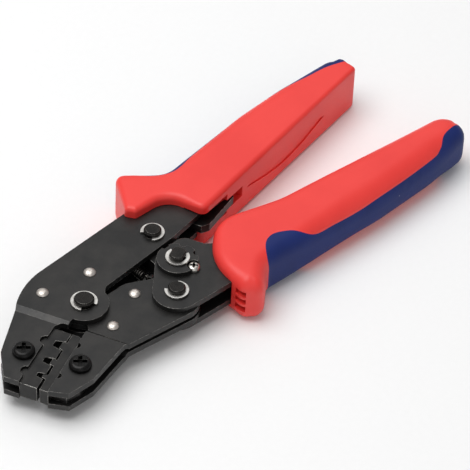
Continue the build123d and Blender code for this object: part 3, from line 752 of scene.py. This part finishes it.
@dataclass(frozen=True)
class WallHollow:
    """A shallow lens-shaped finger hollow in a straight grip wall.

    The wall runs from start to end in plan; the hollow lies between the shares
    from_share and to_share of it and rises above and falls below mid-plane.
    """

    start: Plan
    end: Plan
    from_share: float
    to_share: float
    rise: float
    deep: float
    steps: int = 24

    def cutter(self, place: ToolFrame) -> bpy.types.Object:
        """The closed mesh that the hollow takes out of the wall.

        Args:
            place: The tool's plan frame.

        Returns:
            The cutter.
        """
        start, end = np.array(self.start), np.array(self.end)
        along = (end - start) / np.linalg.norm(end - start)
        across = np.array((-along[1], along[0]))
        ring = []
        for k in range(self.steps * 2):
            share = k / self.steps
            rising = share <= 1
            travel = share if rising else 2 - share
            height = self.rise * math.sin(math.pi * travel) * (1 if rising else -1)
            ring.append((self.from_share + (self.to_share - self.from_share) * travel, height))
        verts = []
        for depth in (-2.0, self.deep):
            for share, height in ring:
                spot = start + (end - start) * share + across * depth
                verts.append(place.at(*spot, height))
        count = len(ring)
        faces: list[tuple[int, ...]] = [tuple(range(count)), tuple(range(2 * count - 1, count - 1, -1))]
        faces += [(i, (i + 1) % count, count + (i + 1) % count, count + i) for i in range(count)]
        return link_mesh("wall_hollow_cutter", verts, faces)


@dataclass
class Grip:
    """A two-material handle grip: a hard shell and the soft inlay moulded into it."""

    body: Body
    shell_node: str
    inlay_node: str
    corners: list[Corner]
    seam: list[Plan]
    beyond: list[Plan]
    cavities: list[Cavity]
    half: float
    hollow: WallHollow | None = None
    step: float = 0.9
    rolls: int = 7
    wall_rows: int = 6
    pieces: dict[Side, bpy.types.Object] = field(default_factory=dict)

    def build(self, place: ToolFrame, finishes: Finishes) -> list[bpy.types.Object]:
        """Make both parts of the grip and put them on their body.

        Args:
            place: The tool's plan frame.
            finishes: The materials.

        Returns:
            The shell and the inlay.
        """
        outline = fillet(self.corners, self.step)
        seam = smooth_line(self.seam, self.step)
        region = np.vstack([seam, np.array(self.beyond)])
        points, triangles = self.fill(outline, seam)
        heights = self.rise(points, outline)
        centres = points[triangles].mean(axis=1)
        within = inside(centres, outline[:, :2])
        in_region = inside(centres, region)
        for side, node in ((Side.SHELL, self.shell_node), (Side.INLAY, self.inlay_node)):
            chosen = triangles[within & (in_region == (side is Side.INLAY))]
            piece = self.solid(f"{node}_moulding", points, heights, chosen, place)
            if side is Side.SHELL:
                self.cut(piece, place)
            for polygon in piece.data.polygons:
                polygon.use_smooth = True
            piece.data.set_sharp_from_angle(angle=math.radians(SHARP_EDGE_DEG))
            slot = "red_grip" if side is Side.SHELL else "blue_inlay"
            finishes.dress(piece, slot)
            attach(piece, self.body.value)
            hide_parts(node)
            self.pieces[side] = piece
        return list(self.pieces.values())

    def fill(self, outline: np.ndarray, seam: np.ndarray) -> tuple[np.ndarray, np.ndarray]:
        """Triangulate the plan, finely where the rim is rolled.

        Args:
            outline: Rows of x, y and rim.
            seam: The line between shell and inlay.

        Returns:
            The plan points and the triangles.
        """
        run = np.roll(outline[:, :2], -1, axis=0) - np.roll(outline[:, :2], 1, axis=0)
        inward = np.stack([-run[:, 1], run[:, 0]], axis=1) / np.linalg.norm(run, axis=1)[:, None]
        probe = outline[:, :2] + inward * 0.05
        if inside(probe, outline[:, :2]).mean() < 0.5:
            inward = -inward
        extra = []
        for k in range(1, self.rolls + 1):
            depth = outline[:, 2] * (1 - math.cos(math.pi / 2 * k / self.rolls))
            ring = outline[:, :2] + inward * depth[:, None]
            gap, _ = nearest(ring, outline)
            keep = inside(ring, outline[:, :2]) & (gap > 0.97 * depth)
            extra.append(ring[keep])
        low, high = outline[:, :2].min(axis=0), outline[:, :2].max(axis=0)
        across = [np.arange(low[axis], high[axis], FILL_STEP) for axis in (0, 1)]
        grid = np.stack(np.meshgrid(*across), -1).reshape(-1, 2)
        gap, rim = nearest(grid, outline)
        extra.append(grid[inside(grid, outline[:, :2]) & (gap > rim + 0.8)])
        loose = np.vstack(extra)
        seam_gap, _ = nearest(loose, np.hstack([seam, np.zeros((len(seam), 1))]))
        loose = loose[seam_gap > 0.25]
        fixed = [Vector(p) for p in outline[:, :2]] + [Vector(p) for p in seam]
        count = len(outline)
        edges = [(i, (i + 1) % count) for i in range(count)]
        edges += [(count + i, count + i + 1) for i in range(len(seam) - 1)]
        made = delaunay_2d_cdt(fixed + [Vector(p) for p in loose], edges, [], 0, 1e-5)
        triangles = [face for face in made[2] if len(face) == 3]
        return np.array([tuple(v) for v in made[0]]), np.array(triangles)

    def rise(self, points: np.ndarray, outline: np.ndarray) -> np.ndarray:
        """Height of the top surface over each plan point.

        Args:
            points: The plan points.
            outline: Rows of x, y and rim.

        Returns:
            Heights above mid-plane in millimetres.
        """
        gap, rim = nearest(points, outline)
        share = np.clip(gap / rim, 0, 1)
        return self.half - rim * (1 - np.sqrt(np.clip(1 - (1 - share) ** 2, 0, 1)))

    def solid(
        self, name: str, points: np.ndarray, heights: np.ndarray, triangles: np.ndarray, place: ToolFrame
    ) -> bpy.types.Object:
        """Close a region's top and bottom with walls into one solid.

        Args:
            name: The piece's name.
            points: The plan points.
            heights: The top surface's height over each.
            triangles: The region's triangles.
            place: The tool's plan frame.

        Returns:
            The piece.
        """
        used = sorted({int(i) for row in triangles for i in row})
        at = {old: new for new, old in enumerate(used)}
        count = len(used)
        verts = [place.at(*points[i], side * heights[i]) for side in (1, -1) for i in used]
        faces: list[tuple[int, ...]] = []
        seen: dict[tuple[int, int], int] = {}
        for row in triangles:
            a, b, c = (at[int(i)] for i in row)
            faces.append((a, b, c))
            faces.append((c + count, b + count, a + count))
            for edge in ((a, b), (b, c), (c, a)):
                key = (min(edge), max(edge))
                seen[key] = seen.get(key, 0) + 1
        rows: dict[int, list[int]] = {}
        for edge in (key for key, times in seen.items() if times == 1):
            for end in edge:
                if end not in rows:
                    top = verts[end].z
                    base = verts[end + count].z
                    column = [end]
                    for k in range(1, self.wall_rows):
                        height = top + (base - top) * k / self.wall_rows
                        verts.append(Vector((verts[end].x, verts[end].y, height)))
                        column.append(len(verts) - 1)
                    rows[end] = column + [end + count]
            first, second = rows[edge[0]], rows[edge[1]]
            for k in range(self.wall_rows):
                faces.append((first[k], second[k], second[k + 1], first[k + 1]))
        return link_mesh(name, verts, faces)

    def cut(self, piece: bpy.types.Object, place: ToolFrame) -> None:
        """Cut the cavities out of the shell.

        Args:
            piece: The shell.
            place: The tool's plan frame.
        """
        for index, (ring, low, high) in enumerate(self.cavities):
            count = len(ring)
            verts = [place.at(x, y, low) for x, y in ring] + [place.at(x, y, high) for x, y in ring]
            faces: list[tuple[int, ...]] = [tuple(range(count)), tuple(range(2 * count - 1, count - 1, -1))]
            faces += [(i, (i + 1) % count, count + (i + 1) % count, count + i) for i in range(count)]
            tool = link_mesh(f"{piece.name}_cutter_{index}", verts, faces)
            self.subtract(piece, tool)
        if self.hollow:
            self.subtract(piece, self.hollow.cutter(place))

    def subtract(self, piece: bpy.types.Object, tool: bpy.types.Object) -> None:
        """Cut one closed mesh out of a piece.

        Args:
            piece: The piece that is cut.
            tool: The mesh that it loses, which is removed.
        """
        modifier = piece.modifiers.new("cavity", "BOOLEAN")
        modifier.operation = "DIFFERENCE"
        modifier.solver = "EXACT"
        modifier.object = tool
        apply_modifiers(piece)
        bpy.data.objects.remove(tool)


def fixed_grip(place: ToolFrame) -> Grip:
    """The grip on the fixed frame's tang."""
    wall_start, wall_end = (53.4, -19.9), (141.6, -40.4)
    tang = [(30.0, -14.0), (30.0, 10.5), (41.0, 6.3), (55.0, 0.7), (63.0, -3.7), (63.0, -19.2)]
    tang += [(53.4, -17.5), (47.0, -15.8), (47.0, -40.0), (30.0, -40.0)]
    pawl_window = [(47.0, -12.0), (63.6, -12.0), (66.5, -17.0), (66.5, -40.0), (47.0, -40.0)]
    lever_window = [(60.0, -17.0), (75.2, -17.0), (75.2, -40.0), (60.0, -40.0)]
    return Grip(
        body=Body.FRAME,
        shell_node="fixed_grip",
        inlay_node="fixed_grip_inlay",
        corners=[
            Corner(42.3, 4.3, 1.2, 1.8),
            Corner(56.2, 14.6, 2.8, 2.4),
            Corner(65.0, -0.9, 9.0, 3.6),
            Corner(101.4, -11.3, 60.0, 4.5),
            Corner(121.4, -19.1, 60.0, 4.5),
            Corner(142.0, -29.3, 5.5, 3.8),
            Corner(144.6, -34.0, 2.7, 1.8),
            Corner(*wall_end, 1.4, 1.4),
            Corner(*wall_start, 2.7, 1.8),
            Corner(55.3, -5.4, 8.0, 2.4),
            Corner(42.9, 0.6, 1.4, 1.8),
        ],
        seam=[
            (56.0, 16.4),
            (60.2, 4.3),
            (62.6, 0.1),
            (65.6, -3.1),
            (70.0, -4.7),
            (78.0, -6.2),
            (101.0, -12.5),
            (113.5, -17.3),
            (122.0, -21.3),
            (129.7, -26.4),
            (136.6, -30.4),
            (142.0, -34.8),
            (147.0, -39.0),
        ],
        beyond=[(152.0, -20.0), (90.0, 20.0)],
        hollow=WallHollow(wall_start, wall_end, from_share=0.28, to_share=0.79, rise=4.3, deep=0.45),
        half=place.half,
        cavities=[
            (tang, -place.tang_half, place.tang_half),
            (pawl_window, -3.1, 5.6),
            (lever_window, -1.85, 2.8),
        ],
    )


def moving_grip(place: ToolFrame) -> Grip:
    """The grip on the moving handle's tang."""
    tang = [(20.0, -20.0), (41.9, -25.4), (44.6, -29.5), (54.0, -34.5), (60.0, -39.0)]
    tang += [(60.0, -50.0), (44.0, -46.4), (33.5, -42.6), (20.0, -36.4)]
    mouth = [(20.0, -42.2), (33.0, -42.2), (36.0, -43.4), (36.0, -45.4), (33.0, -46.4), (20.0, -46.4)]
    return Grip(
        body=Body.HANDLE,
        shell_node="moving_grip",
        inlay_node="moving_grip_inlay",
        corners=[
            Corner(34.4, -29.9, 22.0, 3.6),
            Corner(51.4, -25.2, 13.0, 3.2),
            Corner(70.3, -40.7, 40.0, 3.4),
            Corner(132.9, -75.3, 7.5, 5.0),
            Corner(132.0, -87.6, 5.0, 6.0),
            Corner(111.0, -81.6, 50.0, 8.0),
            Corner(86.0, -71.3, 100.0, 8.0),
            Corner(40.5, -48.2, 7.0, 5.5),
            Corner(28.4, -52.4, 4.0, 5.5),
            Corner(26.3, -45.0, 4.0, 4.6),
        ],
        seam=[
            (38.6, -62.0),
            (38.6, -56.0),
            (40.2, -49.4),
            (46.0, -45.2),
            (51.4, -45.3),
            (55.6, -49.8),
            (59.4, -56.4),
            (68.0, -61.2),
            (86.0, -69.9),
            (110.0, -79.6),
            (117.0, -81.2),
            (123.5, -80.7),
            (137.0, -85.6),
        ],
        beyond=[(137.0, -99.0), (38.6, -99.0)],
        half=place.half,
        cavities=[
            (tang, -place.tang_half, place.tang_half),
            (mouth, -4.6, -2.1),
            (mouth, -1.1, 1.1),
            (mouth, 2.1, 4.6),
        ],
    )


# ---------------------------------------------------------------------------
# Metalwork: the CAD pieces, dressed
# ---------------------------------------------------------------------------
@dataclass
class Metalwork:
    """The steel pieces of one body, which keep their CAD shape."""

    body: Body
    nodes: dict[str, bpy.types.Object]
    slots: dict[str, str]

    def dress(self, finishes: Finishes) -> list[str]:
        """Give each steel piece its finish.

        Args:
            finishes: The materials.

        Returns:
            The names of the pieces dressed.
        """
        done = []
        for name, piece in self.nodes.items():
            if piece.parent and piece.get("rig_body") == self.body.value and not piece.hide_render:
                finishes.dress(piece, self.slots[name])
                done.append(name)
        return done


# ---------------------------------------------------------------------------
# Studio
# ---------------------------------------------------------------------------
@dataclass
class Studio:
    """The pale floor, the soft lights and the camera."""

    azimuth: float = -69.2
    elevation: float = 44.4
    roll: float = 2.8
    lens: float = 257.4
    distance: float = 1.1252
    aim: Plan = (49.83, -32.71)
    aim_height: float = 5.15
    floor_half: float = 3.0
    key_power: float = 8.7
    fill_power: float = 1.0
    back_power: float = 1.0
    sky: float = 0.36

    def build(self, place: ToolFrame) -> None:
        """Set up the floor, the lights and the camera.

        Args:
            place: The tool's plan frame.
        """
        self.floor()
        self.world()
        target = place.at(*self.aim, self.aim_height)
        self.light("key_softbox", target + Vector((-0.12, 0.3, 0.98)), target, 0.9, self.key_power)
        self.light("fill_softbox", target + Vector((-0.9, -0.5, 0.55)), target, 0.8, self.fill_power)
        self.light("back_softbox", target + Vector((0.75, 0.28, 0.8)), target, 0.75, self.back_power)
        self.camera(target)

    def floor(self) -> None:
        """Lay the floor under the tool's lowest point."""
        low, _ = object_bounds()
        half = self.floor_half
        height = low[2] - FLOOR_GAP
        verts = [Vector((x * half, y * half, height)) for x, y in ((-1, -1), (1, -1), (1, 1), (-1, 1))]
        floor = link_mesh("floor", verts, [(0, 1, 2, 3)])
        paper = bpy.data.materials.new("seamless_white_paper")
        paper.use_nodes = True
        tree = paper.node_tree
        tree.nodes.clear()
        place = add_node(tree, "ShaderNodeTexCoord").outputs["Object"]
        fibre = add_node(
            tree, "ShaderNodeTexNoise", {"Scale": per_metre(2.0), "Detail": 3.0}, {"Vector": place}
        ).outputs["Fac"]
        colour = add_node(
            tree,
            "ShaderNodeMix",
            {"data_type": "RGBA", 6: linear("#F6F6F6"), 7: linear("#F9F9F9")},
            {0: fibre},
        ).outputs[2]
        shader = add_node(
            tree, "ShaderNodeBsdfPrincipled", {"Roughness": 0.9, "IOR": 1.45}, {"Base Color": colour}
        )
        add_node(tree, "ShaderNodeOutputMaterial", links={"Surface": shader.outputs["BSDF"]})
        floor.data.materials.append(paper)
        floor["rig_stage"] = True

    def world(self) -> None:
        """Fill the room with even white light."""
        world = bpy.data.worlds.new("white_room")
        world.use_nodes = True
        tree = world.node_tree
        tree.nodes.clear()
        sky = add_node(tree, "ShaderNodeBackground", {"Color": (1.0, 1.0, 1.0, 1.0), "Strength": self.sky})
        add_node(tree, "ShaderNodeOutputWorld", links={"Surface": sky.outputs["Background"]})
        bpy.context.scene.world = world
        bpy.context.scene.view_settings.view_transform = "Standard"

    def light(self, name: str, at: Vector, target: Vector, size: float, power: float) -> None:
        """Hang one softbox that faces the tool.

        Args:
            name: The light's name.
            at: Its place.
            target: What it faces.
            size: Its width and height in metres.
            power: Its power in watts.
        """
        data = bpy.data.lights.new(name, "AREA")
        data.shape = "SQUARE"
        data.size = size
        data.energy = power
        lamp = bpy.data.objects.new(name, data)
        lamp.location = at
        lamp.rotation_euler = (target - at).to_track_quat("-Z", "Y").to_euler()
        bpy.context.scene.collection.objects.link(lamp)

    def camera(self, target: Vector) -> None:
        """Stand the camera at its viewing angle.

        Args:
            target: What its middle looks at.
        """
        turn, tilt, roll = (math.radians(v) for v in (self.azimuth, self.elevation, self.roll))
        back = Vector((math.sin(turn) * math.cos(tilt), -math.cos(turn) * math.cos(tilt), math.sin(tilt)))
        level = Vector((math.cos(turn), math.sin(turn), 0.0))
        up = back.cross(level)
        right = level * math.cos(roll) + up * math.sin(roll)
        upright = up * math.cos(roll) - level * math.sin(roll)
        data = bpy.data.cameras.new("studio_camera")
        data.lens = self.lens
        data.sensor_width = 36.0
        data.clip_start = 0.01
        eye = bpy.data.objects.new("studio_camera", data)
        turned = Matrix((right, upright, back)).transposed().to_4x4()
        eye.matrix_world = Matrix.Translation(target + back * self.distance) @ turned
        bpy.context.scene.collection.objects.link(eye)
        bpy.context.scene.camera = eye


def main() -> None:
    """Build the scene from the frame outwards."""
    logging.basicConfig(level=logging.INFO)
    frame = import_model()
    finishes = Finishes()
    place = ToolFrame.from_cad()
    for grip in (fixed_grip(place), moving_grip(place)):
        for piece in grip.build(place, finishes):
            LOG.info("%s: %d faces", piece.name, len(piece.data.polygons))
    slots = {part["node"]: part["material_slot"] for part in frame["record"]["subparts"]}
    for body in Body:
        done = Metalwork(body, frame["nodes"], slots).dress(finishes)
        LOG.info("%s: dressed %s", body.value, ", ".join(done))
    Studio().build(place)


if __name__ == "__main__":
    main()
